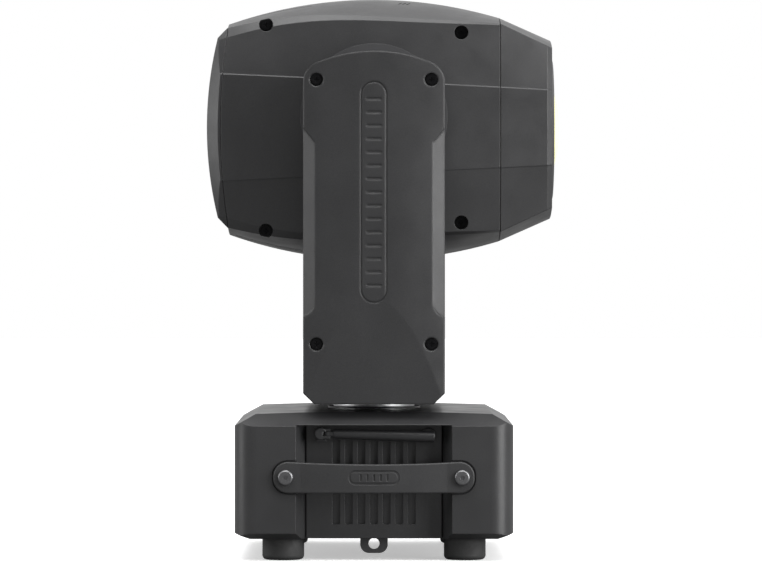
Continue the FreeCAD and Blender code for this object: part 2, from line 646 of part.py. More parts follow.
def make_arm_covers():
    slab = pad("XZ", arm_outline("0"), "-arm_face - 5", "-arm_inner")
    crown = "(arm_half^2 + (arm_face - arm_edge_face)^2) / (2 * (arm_face - arm_edge_face))"
    section = pad("XY", [
        ("-arm_half", "-arm_inner + 1"), ("-arm_half", "-arm_edge_face", crown),
        ("arm_half", "-arm_edge_face"), ("arm_half", "-arm_inner + 1"),
    ], "yoke_low - 5", "arm_shoulder_top + 15")
    facet = box(("-arm_half - 10", "-40", "-150"), ("arm_half + 10", "0", "0"))
    facet.Placement = Placement(Vector(), Rotation(Vector(1, 0, 0), value("facet_slope")))
    place(facet, ("-arm_half - 10", "-arm_face - 40 * cos(facet_slope) + 150 * sin(facet_slope)",
                  "facet_apex - 150 * cos(facet_slope) - 40 * sin(facet_slope)"))
    outer = cut(common(slab, section), facet)
    inner_edge = "arm_half - flank_width"
    patch = pad("XZ", [
        ("arm_half + 1", "flank_end"), ("arm_half + 1", "flank_high + 1.2"),
        (inner_edge, "flank_full"), (inner_edge, "flank_low", "14"), ("arm_half - 0.5", "flank_end"),
    ], "-arm_face - 5", "-arm_edge_face + flank_depth + 4")
    face_there = f"(-arm_face + ({inner_edge})^2 / (2 * {crown}))"
    wedge = pad("XY", [
        (inner_edge, face_there), (inner_edge, "-arm_face - 4"), ("arm_half + 2", "-arm_face - 4"),
        ("arm_half + 2", f"{face_there} + flank_depth * (flank_width + 2) / flank_width"),
    ], "flank_end - 5", "flank_high + 5")
    flank = common(patch, wedge)
    outer = cut(outer, flank, mirrored(flank, (1, 0, 0)))
    hollow = common(pad("XZ", arm_outline("arm_wall"), "-arm_skin", "-arm_inner + 1"),
                    pad("XY", [("-arm_half + arm_wall", "-arm_inner + 1"),
                               ("-arm_half + arm_wall", "-arm_skin + 9"),
                               ("-arm_half + flank_width + 4", "-arm_skin"),
                               ("arm_half - flank_width - 4", "-arm_skin"),
                               ("arm_half - arm_wall", "-arm_skin + 9"),
                               ("arm_half - arm_wall", "-arm_inner + 1")],
                        "yoke_low", "arm_shoulder_top + 15"))
    plate_back = "-arm_inner - arm_plate"
    spots = [(x, z) for x in ("-arm_screw_x", "arm_screw_x") for z in ("arm_screw_high", "arm_screw_low")]
    posts = [rod("y", (x, "-arm_face", z), "8", f"arm_face + {plate_back} - 0.1") for x, z in spots]
    sinks = [rod("y", (x, "-arm_face - 1", z), "arm_screw_sink", "9.5") for x, z in spots]
    bores = [rod("y", (x, "-arm_face", z), "2.1", "60") for x, z in spots]
    mouth = pad("XZ", arm_outline("arm_wall"), "-arm_inner - 1", "-arm_inner + 2")
    shell = cut(outer, cut(hollow, *posts), *sinks, *bores, mouth)
    marks = [pad("XZ", frame_outline("0", "333", "24", "200", "11.9"), "-arm_face - 2", "-arm_face + 0.8",
                 holes=[frame_outline("0", "333", "21.4", "197.4", "10.6")])]
    for n in range(-7, 8):
        marks.append(pad("XZ", frame_outline("0", f"333 + 12 * {n}", "14", "2.4", "1.15"), "-arm_face - 2",
                         "-arm_face + 0.6"))
    pair(cut(shell, *marks), "arm_cover")
    screws = []
    for x, z in spots:
        head = rod("y", (x, "-arm_face + 5.2", z), "5", "3.2")
        cross = cross_slot(x, "-arm_face", "-arm_face + 6.8", z)
        screw = cut(fuse(head, rod("y", (x, "-arm_face + 8.4", z), "2", "44")), cross)
        screws += [screw, mirrored(screw)]
    name(group(*screws), "arm_screws")


def make_arm_plates():
    holes = [(x, z, "2.1") for x in ("-arm_screw_x", "arm_screw_x")
             for z in ("arm_screw_high", "arm_screw_low")]
    plate = pad("XZ", arm_outline("arm_wall + 0.2"), "-arm_inner - arm_plate", "-arm_inner", rings=holes)
    boss = rod("y", ("0", "-arm_inner", "boss_height"), "boss_radius", "boss_thick")
    boss = rounded(boss, "1.6", lambda edge: edge.BoundBox.YMin > value("-arm_inner + 1"))
    bore = rod("y", ("0", "-arm_face", "tilt_height"), "bearing_radius + 0.1", "arm_face")
    pair(cut(fuse(plate, boss), bore), "arm_plate")


def make_yoke_middle():
    beam = pad("XY", frame_outline("0", "0", "2 * beam_half", "2 * arm_inner - 0.2", "4"), "beam_low",
               "beam_high", rings=[("0", "0", "tube_bore")])
    name(beam, "yoke_crossbeam")

    def channel(inset, low, high):
        half = f"(arm_half - {inset})"
        return pad("XZ", [
            (f"-{half} + arm_corner_run", low), (f"{half} - arm_corner_run", low),
            (half, f"{low} + arm_corner_rise"), (half, f"{high} - 14", f"14 - {inset}"),
            (f"{half} - 14 + {inset}", high), (f"-{half} + 14 - {inset}", high, f"14 - {inset}"),
            (f"-{half}", f"{high} - 14"), (f"-{half}", f"{low} + arm_corner_rise"),
        ], "-arm_inner + 0.2", "arm_inner - 0.2")
    shell = cut(channel("0", "yoke_low", "yoke_deck"), channel("3", "(yoke_low + 3)", "(yoke_deck - 3)"),
                rod("z", ("0", "0", "yoke_low - 1"), "tube_radius + 1", "6"))
    name(shell, "yoke_cover")


def make_tilt_drive():
    inner = "-arm_inner - arm_plate - 2"
    bearing = cut(rod("y", ("0", inner, "tilt_height"), "bearing_radius", "arm_plate + 3"),
                  rod("y", ("0", f"{inner} - 1", "tilt_height"), "axle_radius + fit_gap", "arm_plate + 6"))
    name(group(bearing, mirrored(bearing)), "tilt_bearings")
    disc = rod("y", ("0", "-hub_out", "tilt_height"), "hub_radius", "hub_out - hub_in")
    disc = rounded(disc, "2.5", lambda edge: edge.BoundBox.YMax < value("-hub_out") + 0.01)
    neck = rod("y", ("0", "-hub_in", "tilt_height"), "neck_hub", "hub_in - frame_side - frame_thick")
    axle = rod("y", ("0", "-tilt_level - belt_width - 3", "tilt_height"), "axle_radius",
               "tilt_level + belt_width + 3 - hub_in")
    bore = rod("y", ("0", "-arm_face", "tilt_height"), "axle_bore", "100")
    hub = cut(fuse(disc, neck, axle), bore)
    name(group(hub, mirrored(hub)), "tilt_hubs")
    name(pulley("y", ("0", "tilt_height"), "tilt_level", "tilt_wheel", "axle_radius + 0.02"), "tilt_pulley")
    pinion = ("0", "tilt_height - tilt_span")
    name(pulley("y", pinion, "tilt_level", "tilt_pinion + 1.5", "2.5 + fit_gap"), "tilt_motor_pulley")
    name(belt("y", ("0", "tilt_height"), "tilt_span", "tilt_level", "tilt_wheel", "tilt_pinion + 1.5"),
         "tilt_belt")
    back = "arm_inner + arm_plate"
    case = pad("XZ", frame_outline(*pinion, "42.3", "42.3", "4"), back, f"{back} + 24")
    boss = rod("y", (pinion[0], f"{back} + 24", pinion[1]), "11", "1.4")
    shaft = rod("y", (pinion[0], f"{back} + 24", pinion[1]), "2.5",
                f"tilt_level + belt_width + 3.5 - ({back} + 24)")
    name(fuse(case, boss, shaft), "tilt_motor")


# ---------------------------------------------------------------- head

# place along X, how far the side panel ends below the crown, and the band's height above it
STATIONS = [
    ("-156", "13", "10"), ("-105", "17", "7.5"), ("-50", "20.5", "5.6"), ("0", "23.3", "4.2"),
    ("60", "21", "3"), ("head_seam", "10", "1.5"),
]
SKINS = {}
REAR_SEAM_ARC = "(rear_corner_half^2 + (rear_corner - rear_seam)^2) / (2 * (rear_corner - rear_seam))"


def crown_at(along, inset):
    return f"(head_top - head_arc + sqrt(head_arc^2 - ({along})^2) - {inset})"


def width_at(along, inset):
    return f"(head_half - plan_arc + sqrt(plan_arc^2 - ({along})^2) - {inset})"


def head_section(top, wide, crease, panel, band, lean, step):
    """A section with flat middle facets, leaning facets, a narrow band and an arched top."""
    upper, brink = f"({top} - {panel})", f"({top} - {panel} + {band})"
    far, edge = f"({wide} - {lean})", f"({wide} - {lean} - {step})"
    arch = f"(({edge}^2 + ({panel} - {band})^2) / (2 * ({panel} - {band})))"
    down = [(edge, brink), (far, upper), (f"({wide} - crease_step)", f"({crease})"),
            (wide, f"({crease} - 1)")]
    rise = down[::-1]
    right = [(across, f"-{up}") for across, up in down] + rise
    left = [(f"-{across}", up) for across, up in down] + [(f"-{across}", f"-{up}") for across, up in rise]
    arched = (len(right) - 1, len(right) + len(left) - 1)
    return [(across, f"tilt_height + {up}", *([arch] if index in arched else []))
            for index, (across, up) in enumerate(right + left)]


def skin(inset):
    """The head's form between the rear face and the front seam, moved in by an inset."""
    if inset in SKINS:
        return SKINS[inset]
    sections = []
    for along, panel, band in STATIONS:
        crease = f"(crease_mid - crease_taper * ({along}))"
        sections.append((along, head_section(crown_at(along, inset), width_at(along, inset), crease,
                                             panel, band, "8", "4.5")))
    SKINS[inset] = loft(sections)
    return SKINS[inset]


def make_shells():
    outer, inner = skin("0"), skin("head_wall")
    wall = cut(outer, inner)
    low, high = "tilt_height - 140", "tilt_height + 140"
    back, front = "rear_corner + seam_gap", "head_seam - seam_gap"
    side = pad("XZ", [
        (back, low), (front, low), (front, high), (back, high),
        (back, "tilt_height + rear_corner_half", REAR_SEAM_ARC), (back, "tilt_height - rear_corner_half"),
    ], "-head_half - 30", "-seam_gap / 2")
    tools = [rod("y", ("0", "-head_half - 5", "tilt_height"), "neck_hub + 0.4", "20")]
    screws, bosses = [], []
    for sign in ("+", "-"):
        for along, level in (("shell_screw_rear", "shell_screw_rear_level"),
                             ("shell_screw_front", "shell_screw_front_level")):
            at = (along, "-head_half - 5", f"tilt_height {sign} {level}")
            tools.append(rod("y", at, "shell_screw_sink", "29"))
            tools.append(rod("y", at, "2.1", "40"))
            bosses.append(common(rod("y", at, "shell_screw_sink + 2.4", "33"), outer))
            seat = (along, "-head_half + 20", at[2])
            head = rod("y", seat, "5.2", "4")
            cross = cross_slot(along, "-head_half", "-head_half + 22", at[2])
            screw = cut(fuse(head, rod("y", (along, "-head_half + 24", at[2]), "2", "12")), cross)
            screws += [screw, mirrored(screw)]
    vents = [box(("-132", "-44.4", "tilt_height + 80"), ("-57", "-42", high)),
             box(("-128", "-44.4", low), ("-66", "-42", "tilt_height - 80")),
             box(("-128", "-36.4", low), ("-66", "-34", "tilt_height - 80"))]
    for start in (22, 25.6, 29.2):
        vents.append(pad("XY", [(f"{start}", "-48"), (f"{start + 1.4}", "-48"), (f"{start + 4.8}", "-38"),
                                (f"{start + 3.4}", "-38")], "tilt_height + 90", high))
    pair(cut(fuse(common(wall, side), *bosses), *tools, *vents), "side_shell")
    name(group(*screws), "shell_screws")


def make_rear_cover():
    """The rear cover: a bulging back with bevelled sides, open towards the shells."""
    low, high = "tilt_height - 140", "tilt_height + 140"

    def side_view(bulge, edge, half, inset):
        arc = f"(({half})^2 + (({edge}) - ({bulge}))^2) / (2 * (({edge}) - ({bulge})))"
        back, reach = f"({edge} + {inset})", f"({half} - {inset})"
        return [("rear_corner + 20", f"tilt_height - {reach} - 30"),
                ("rear_corner + 20", f"tilt_height + {reach} + 30"),
                (back, f"tilt_height + {reach}", arc), (back, f"tilt_height - {reach}")]

    def form(inset):
        flat = side_view("rear_bulge", "rear_edge", "rear_edge_half", inset)
        side = side_view("rear_seam", "rear_corner", "rear_corner_half", inset)
        middle = pad("XZ", flat, f"{inset} - rear_flat", f"rear_flat - {inset}")
        bevel = loft([(f"{inset} - rear_flat", flat), (f"{inset} - rear_side", side)], ruled=True, plane="XZ")
        return common(skin(inset), fuse(middle, bevel, mirrored(bevel)))
    region = pad("XZ", [
        ("rear_bulge - 10", low), ("rear_corner", low),
        ("rear_corner", "tilt_height - rear_corner_half", f"-({REAR_SEAM_ARC})"),
        ("rear_corner", "tilt_height + rear_corner_half"), ("rear_corner", high), ("rear_bulge - 10", high),
    ], "-head_half - 10", "head_half + 10")
    grid = [box(("rear_bulge - 5", "-62", f"tilt_height + {9 * n} - 2.5"),
                ("rear_edge + 20", "62", f"tilt_height + {9 * n} + 2.5")) for n in range(-6, 7)]
    name(cut(common(form("0"), region), form("head_wall"), *grid), "rear_cover")


def bezel_section(top, wide, crease, drop):
    return head_section(top, wide, crease, drop, "0.5", "8", "0.6")


def make_front():
    def form(inset):
        wide = width_at("head_seam", inset)
        return loft([
            ("head_seam", bezel_section(crown_at("head_seam", inset), wide, "37.4", "9")),
            (f"bezel_front - {inset} * 0.7",
             bezel_section(f"(85 - {inset})", f"(86 - {inset})", "35.3", "10")),
            (f"bezel_lip - {inset}", bezel_section(f"(83 - {inset})", f"(82.4 - {inset})", "34.6", "10")),
        ], ruled=True)
    opening = rod("x", ("bezel_front - 10", "0", "tilt_height"), "ring_radius + 0.2", "20")
    back = box(("head_seam - 1", "-120", "tilt_height - 120"),
               ("head_seam + 0.1", "120", "tilt_height + 120"))
    name(cut(form("0"), form("head_wall"), opening, back), "front_bezel")

    ring = fuse(rod("x", ("ring_back", "0", "tilt_height"), "ring_radius", "bezel_lip - ring_back"),
                taper("x", ("bezel_lip", "0", "tilt_height"), "ring_radius", "lens_radius + 2",
                      "ring_front - bezel_lip"))
    shoulder = "(lens_apex - 14.1)"
    bore = rod("x", ("ring_back - 8", "0", "tilt_height"), "lens_radius + 0.2", f"{shoulder} - ring_back + 8")
    throat = taper("x", (f"{shoulder} - 0.1", "0", "tilt_height"), "lens_radius - 0.5",
                   "lens_radius + 2", "12")
    name(cut(ring, bore, throat), "lens_ring")
    ball = doc.addObject("Part::Sphere", "ball")
    bind(ball, "Radius", "lens_curve")
    place(ball, ("lens_apex - lens_curve", "0", "tilt_height"))
    name(common(ball, rod("x", ("lens_apex - 21", "0", "tilt_height"), "lens_radius", "40")), "front_lens")


def make_head_inside():
    cheeks = [box(("-98", y, "tilt_height - 62"), ("104", f"{y} + frame_thick", "tilt_height + 62"))
              for y in ("-frame_side - frame_thick", "frame_side")]
    cheeks = [cut(plate, rod("y", ("0", "-110", "tilt_height"), "axle_bore", "220")) for plate in cheeks]
    walls = []
    for along, hole, half in (("-51", "30", "70"), ("13", "24", "84"), ("101", "50", "70")):
        walls.append(pad("YZ", frame_outline("0", "tilt_height", "2 * frame_side", f"2 * {half}", "6"),
                         along, f"{along} + frame_thick", rings=[("0", "tilt_height", hole)]))
    name(fuse(*cheeks, *walls), "head_frame")

    lamp = fuse(rod("x", ("-62", "0", "tilt_height"), "36", "6"),
                rod("x", ("-56", "0", "tilt_height"), "26", "4.6"),
                taper("x", ("-51.4", "0", "tilt_height"), "22", "14", "10"))
    name(lamp, "lamp_module")
    fins = [box(("-111", f"{-60 + 8 * n}", "tilt_height - 58"),
                ("-70", f"{-60 + 8 * n + 2}", "tilt_height + 58")) for n in range(16)]
    name(fuse(box(("-70", "-62", "tilt_height - 58"), ("-62", "64", "tilt_height + 58")), *fins), "heat_sink")

    frame = pad("YZ", frame_outline("0", "tilt_height", "92", "92", "5"), "-133", "-113",
                rings=[("0", "tilt_height", "43.5")])
    struts = [box(("-133", "-44", "tilt_height - 2"), ("-130", "44", "tilt_height + 2")),
              box(("-133", "-2", "tilt_height - 44"), ("-130", "2", "tilt_height + 44")),
              rod("x", ("-133", "0", "tilt_height"), "14", "3"),
              rod("x", ("-130", "0", "tilt_height"), "2.5", "13")]
    name(fuse(frame, *struts), "head_fan_frame")
    blade = group(box(("-5.5", "12", "-1.1"), ("5.5", "42", "1.1")))
    blade.Placement = Placement(Vector(), Rotation(Vector(0, 1, 0), 38))
    blades = []
    for n in range(7):
        turned = group(blade)
        place(turned, ("-122", "0", "tilt_height"), Rotation(Vector(1, 0, 0), 360 / 7 * n))
        blades.append(turned)
    hub = cut(rod("x", ("-128.5", "0", "tilt_height"), "16", "13"),
              rod("x", ("-131", "0", "tilt_height"), "2.5 + fit_gap", "20"))
    name(fuse(hub, *blades), "head_fan_rotor")

    motors = []
    for label, along, sign, start in (("colour_wheel", "-24", "-", "-47.9"), ("gobo_wheel", "6", "+", "-14")):
        height = f"tilt_height {sign} wheel_offset"
        holes = [(f"wheel_offset * cos({90 + 45 * n})", f"{height} + wheel_offset * sin({90 + 45 * n})",
                  "8") for n in range(8)]
        holes.append(("0", height, "3 + fit_gap"))
        wheel = pad("YZ", [], along, f"{along} + wheel_thick",
                    rings=[("0", height, "wheel_radius"), *holes])
        name(wheel, label)
        case = pad("YZ", frame_outline("0", height, "35", "24", "4"), start, f"{start} + 16")
        reach = f"{along} + 5 - ({start} + 16)"
        motors.append(fuse(case, rod("x", (f"{start} + 16", "0", height), "3", reach)))
    name(group(*motors), "wheel_motors")

    spots = [("-rod_reach", "tilt_height - rod_reach"), ("rod_reach", "tilt_height + rod_reach")]
    name(group(*[rod("x", ("16", y, z), "rod_radius", "85") for y, z in spots]), "guide_rods")
    carrier = pad("YZ", frame_outline("0", "tilt_height", "116", "116", "12"), "52", "58",
                  rings=[("0", "tilt_height", "34")] + [(y, z, "rod_radius + fit_gap") for y, z in spots])
    glass = rod("x", ("53", "0", "tilt_height"), "34", "4")
    name(fuse(carrier, glass), "focus_carriage")


make_base_cover()
make_base_plate()
make_grilles()
make_handles()
make_handle_bolts()
make_feet()
make_safety_eye()
make_display()
make_control_board()
make_connectors()
make_power_supply()
make_pan_drive()
make_antenna()
make_arm_covers()
make_arm_plates()
make_yoke_middle()
make_tilt_drive()
make_shells()
make_rear_cover()
make_front()
make_head_inside()

doc.recompute()
failed = [item.Label for item in doc.Objects if "Invalid" in item.State or "Error" in item.State]
if failed:
    raise RuntimeError(f"failed objects: {failed}")
for label, item in PARTS:
    if item.Shape.isNull() or not item.Shape.isValid() or not item.Shape.Solids:
        raise RuntimeError(f"{label} has no valid solid")

os.makedirs("parts", exist_ok=True)
for label, item in PARTS:
    item.Shape.exportStep(f"parts/{label}.step")
    print(label, len(item.Shape.Solids), round(item.Shape.Volume / 1000, 1))
print(len(PARTS), "pieces")
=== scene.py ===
import json
import math

import bmesh
import bpy
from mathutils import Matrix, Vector


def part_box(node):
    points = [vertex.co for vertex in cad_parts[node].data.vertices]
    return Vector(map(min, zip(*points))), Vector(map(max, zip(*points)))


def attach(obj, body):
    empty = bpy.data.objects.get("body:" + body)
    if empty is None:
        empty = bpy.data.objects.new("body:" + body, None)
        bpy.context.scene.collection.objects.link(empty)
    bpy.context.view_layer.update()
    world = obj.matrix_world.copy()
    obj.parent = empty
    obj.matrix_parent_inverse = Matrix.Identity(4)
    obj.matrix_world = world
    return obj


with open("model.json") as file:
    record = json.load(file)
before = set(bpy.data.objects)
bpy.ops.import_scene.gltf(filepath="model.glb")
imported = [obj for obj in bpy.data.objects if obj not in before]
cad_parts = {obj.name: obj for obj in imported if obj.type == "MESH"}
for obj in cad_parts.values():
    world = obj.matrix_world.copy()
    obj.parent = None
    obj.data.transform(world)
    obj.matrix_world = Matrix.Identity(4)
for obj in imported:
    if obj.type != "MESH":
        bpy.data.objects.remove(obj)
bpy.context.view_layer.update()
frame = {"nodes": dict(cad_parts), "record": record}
scene = bpy.context.scene

# ---------------------------------------------------------------- camera

CAMERA_DISTANCE = 4.658
CAMERA_HEIGHT = 0.2744
CAMERA_LENS = 235.6
CAMERA_DOWN = math.radians(0.2757)
CAMERA_RIGHT = math.radians(0.0804)


def make_camera():
    data = bpy.data.cameras.new("camera")
    data.lens = CAMERA_LENS
    data.sensor_width = 36
    data.clip_start = 0.05
    data.clip_end = 100
    camera = bpy.data.objects.new("camera", data)
    camera.location = (0, -CAMERA_DISTANCE, CAMERA_HEIGHT)
    camera.rotation_euler = (math.radians(90) - CAMERA_DOWN, 0, -CAMERA_RIGHT)
    scene.collection.objects.link(camera)
    scene.camera = camera


# ---------------------------------------------------------------- materials

class Paint:
    """A material's node tree, with short ways to add what the finishes here share."""

    def __init__(self, name):
        self.material = bpy.data.materials.new(name)
        self.material.use_nodes = True
        self.tree = self.material.node_tree
        self.shader = self.tree.nodes["Principled BSDF"]
        self.place = self.add("ShaderNodeTexCoord").outputs["Object"]
        self.normal = None

    def add(self, kind, **settings):
        node = self.tree.nodes.new(kind)
        for key, value in settings.items():
            setattr(node, key, value)
        return node

    def link(self, start, end):
        self.tree.links.new(start, end)

    def set(self, **sockets):
        for key, value in sockets.items():
            self.shader.inputs[key.replace("_", " ")].default_value = value

    def noise(self, scale, detail=3, rough=0.55, stretch=(1, 1, 1)):
        mapping = self.add("ShaderNodeMapping")
        mapping.inputs["Scale"].default_value = stretch
        node = self.add("ShaderNodeTexNoise")
        node.inputs["Scale"].default_value = scale
        node.inputs["Detail"].default_value = detail
        node.inputs["Roughness"].default_value = rough
        self.link(self.place, mapping.inputs["Vector"])
        self.link(mapping.outputs["Vector"], node.inputs["Vector"])
        return node.outputs["Fac"]

    def ramp(self, fac, stops):
        node = self.add("ShaderNodeValToRGB")
        elements = node.color_ramp.elements
        while len(elements) < len(stops):
            elements.new(0.5)
        for element, (position, colour) in zip(elements, stops):
            element.position = position
            element.color = (*colour, 1)
        self.link(fac, node.inputs["Fac"])
        return node.outputs["Color"]

    def spread(self, fac, low, high, start=0.3, end=0.7):
        node = self.add("ShaderNodeMapRange")
        node.inputs["From Min"].default_value = start
        node.inputs["From Max"].default_value = end
        node.inputs["To Min"].default_value = low
        node.inputs["To Max"].default_value = high
        self.link(fac, node.inputs["Value"])
        return node.outputs["Result"]

    def bump(self, fac, height, strength=0.5):
        node = self.add("ShaderNodeBump")
        node.inputs["Strength"].default_value = strength
        node.inputs["Distance"].default_value = height
        self.link(fac, node.inputs["Height"])
        if self.normal is not None:
            self.link(self.normal, node.inputs["Normal"])
        self.normal = node.outputs["Normal"]

    def soften(self, radius):
        """Rounds sharp edges by a small radius."""
        node = self.add("ShaderNodeBevel", samples=4)
        node.inputs["Radius"].default_value = radius
        self.normal = node.outputs["Normal"]

    def done(self):
        if self.normal is not None:
            self.link(self.normal, self.shader.inputs["Normal"])
        return self.material


def tint(colour, factor):
    return tuple(min(1, channel * factor) for channel in colour)


def moulded(name, colour, rough=0.38, grain=0.00006, grain_scale=1500, edge=0.0009):
    """Injection-moulded plastic: fine spark texture, faint flow marks, soft edges."""
    paint = Paint(name)
    paint.soften(edge)
    cloud = paint.noise(9, 5)
    fleck = paint.noise(1100, 2)
    mix = paint.add("ShaderNodeMix", data_type="RGBA", blend_type="MULTIPLY")
    mix.inputs["Factor"].default_value = 1
    paint.link(paint.ramp(cloud, [(0.3, tint(colour, 0.88)), (0.7, tint(colour, 1.12))]), mix.inputs["A"])
    paint.link(paint.ramp(fleck, [(0.35, (0.86, 0.86, 0.86)), (0.65, (1.1, 1.1, 1.1))]), mix.inputs["B"])
    paint.link(mix.outputs["Result"], paint.shader.inputs["Base Color"])
    paint.link(paint.spread(paint.noise(35, 4), rough - 0.05, rough + 0.07), paint.shader.inputs["Roughness"])
    paint.bump(paint.noise(grain_scale, 2, 0.6), grain, 0.6)
    return paint.done()


def coated(name, colour, rough=0.4):
    """Powder-coated metal: orange-peel bump and slight gloss."""
    paint = Paint(name)
    paint.soften(0.0005)
    paint.link(paint.ramp(paint.noise(14, 4), [(0.3, tint(colour, 0.85)), (0.7, tint(colour, 1.15))]),
               paint.shader.inputs["Base Color"])
    paint.link(paint.spread(paint.noise(60, 3), rough - 0.06, rough + 0.08), paint.shader.inputs["Roughness"])
    paint.bump(paint.noise(620, 3), 0.00009, 0.6)
    paint.set(Coat_Weight=0.08, Coat_Roughness=0.35)
    return paint.done()


def metal(name, colour, rough, stretch, scale=500, height=0.00002):
    """Bare metal with tool marks that run across the stretched axis."""
    paint = Paint(name)
    paint.soften(0.0003)
    marks = paint.noise(scale, 3, 0.6, stretch)
    paint.link(paint.ramp(marks, [(0.3, tint(colour, 0.82)), (0.7, tint(colour, 1.08))]),
               paint.shader.inputs["Base Color"])
    paint.link(paint.spread(marks, rough - 0.06, rough + 0.1), paint.shader.inputs["Roughness"])
    paint.bump(marks, height, 0.5)
    paint.set(Metallic=1.0)
    return paint.done()


def rubber(name, colour):
    paint = Paint(name)
    paint.soften(0.0006)
    paint.link(paint.ramp(paint.noise(22, 5), [(0.3, tint(colour, 0.8)), (0.7, tint(colour, 1.3))]),
               paint.shader.inputs["Base Color"])
    paint.link(paint.spread(paint.noise(90, 3), 0.62, 0.82), paint.shader.inputs["Roughness"])
    paint.bump(paint.noise(700, 4), 0.00012, 0.6)
    return paint.done()


def board(name, colour):
    """A circuit board: solder mask with faint tracks."""
    paint = Paint(name)
    grid = paint.add("ShaderNodeTexBrick")
    grid.inputs["Scale"].default_value = 160
    grid.inputs["Color1"].default_value = (*colour, 1)
    grid.inputs["Color2"].default_value = (*tint(colour, 0.8), 1)
    grid.inputs["Mortar"].default_value = (*tint(colour, 1.6), 1)
    paint.link(paint.place, grid.inputs["Vector"])
    paint.link(grid.outputs["Color"], paint.shader.inputs["Base Color"])
    paint.set(Roughness=0.35)
    paint.bump(grid.outputs["Fac"], 0.00005, 0.4)
    return paint.done()


def from_axis(paint, centre):
    """Distance from the head's optical axis."""
    shift = paint.add("ShaderNodeVectorMath", operation="SUBTRACT")
    shift.inputs[1].default_value = centre
    flat = paint.add("ShaderNodeVectorMath", operation="MULTIPLY")
    flat.inputs[1].default_value = (0, 1, 1)
    length = paint.add("ShaderNodeVectorMath", operation="LENGTH")
    paint.link(paint.place, shift.inputs[0])
    paint.link(shift.outputs["Vector"], flat.inputs[0])
    paint.link(flat.outputs["Vector"], length.inputs[0])
    return length.outputs["Value"]


def lens_glow(name, centre, radius):
    """The lit front lens: pale yellow, brightest in the middle, with fine moulded rings."""
    paint = Paint(name)
    reach = from_axis(paint, centre)
    warm = paint.ramp(paint.spread(reach, 0, 1, 0, radius),
                      [(0, (1.0, 0.97, 0.62)), (0.55, (1.0, 0.95, 0.36)), (1, (0.75, 0.68, 0.12))])
    paint.link(warm, paint.shader.inputs["Base Color"])
    paint.link(warm, paint.shader.inputs["Emission Color"])
    paint.link(paint.spread(reach, 1.25, 0.5, 0, radius), paint.shader.inputs["Emission Strength"])
    wave = paint.add("ShaderNodeMath", operation="SINE")
    turns = paint.add("ShaderNodeMath", operation="MULTIPLY")
    turns.inputs[1].default_value = 2 * math.pi / 0.0025
    paint.link(reach, turns.inputs[0])
    paint.link(turns.outputs["Value"], wave.inputs[0])
    paint.bump(wave.outputs["Value"], 0.00004, 0.5)
    paint.set(Roughness=0.08, Coat_Weight=1.0, Coat_Roughness=0.03, IOR=1.5)
    return paint.done()


def glossy_dark(name, colour):
    paint = Paint(name)
    paint.link(paint.ramp(paint.noise(30, 3), [(0.3, tint(colour, 0.8)), (0.7, tint(colour, 1.2))]),
               paint.shader.inputs["Base Color"])
    paint.link(paint.spread(paint.noise(50, 4), 0.05, 0.12), paint.shader.inputs["Roughness"])
    paint.set(Coat_Weight=0.6, Coat_Roughness=0.04)
    return paint.done()


def lit(name, colour, strength):
    """Glowing pixels of the display."""
    paint = Paint(name)
    paint.link(paint.ramp(paint.noise(2600, 1), [(0.2, tint(colour, 0.7)), (0.6, colour)]),
               paint.shader.inputs["Emission Color"])
    paint.set(Base_Color=(*tint(colour, 0.4), 1), Emission_Strength=strength, Roughness=0.4)
    return paint.done()


def floor_paint():
    """A pale studio floor: white to the camera, with a faint shadow, and little light thrown back up."""
    paint = Paint("floor")
    paint.link(paint.ramp(paint.noise(2.2, 4), [(0.3, (0.80, 0.80, 0.80)), (0.7, (0.83, 0.83, 0.83))]),
               paint.shader.inputs["Base Color"])
    paint.set(Roughness=0.6, Emission_Color=(1, 1, 1, 1), Emission_Strength=0.45)
    ray = paint.add("ShaderNodeLightPath")
    matt = paint.add("ShaderNodeBsdfDiffuse")
    matt.inputs["Color"].default_value = (FLOOR_BOUNCE, FLOOR_BOUNCE, FLOOR_BOUNCE, 1)
    mix = paint.add("ShaderNodeMixShader")
    paint.link(ray.outputs["Is Camera Ray"], mix.inputs["Fac"])
    paint.link(matt.outputs["BSDF"], mix.inputs[1])
    paint.link(paint.shader.outputs["BSDF"], mix.inputs[2])
    paint.link(mix.outputs["Shader"], paint.tree.nodes["Material Output"].inputs["Surface"])
    return paint.done()


SHELL = (0.029, 0.029, 0.03)
HEAD_CENTRE = (0, 0, 0.393)
FLOOR_BOUNCE = 0.2
FLOOR_REACH = 12
FRONT_LIGHT = 0.34
LIGHT_TARGET = (0, 0, 0.3)
SUN_STRENGTH = 2.0
SUN_SPREAD = math.radians(70)
WORLD_FRONT = -0.9
WORLD_BACK = 0.5
BACK_LIGHT = 1.0

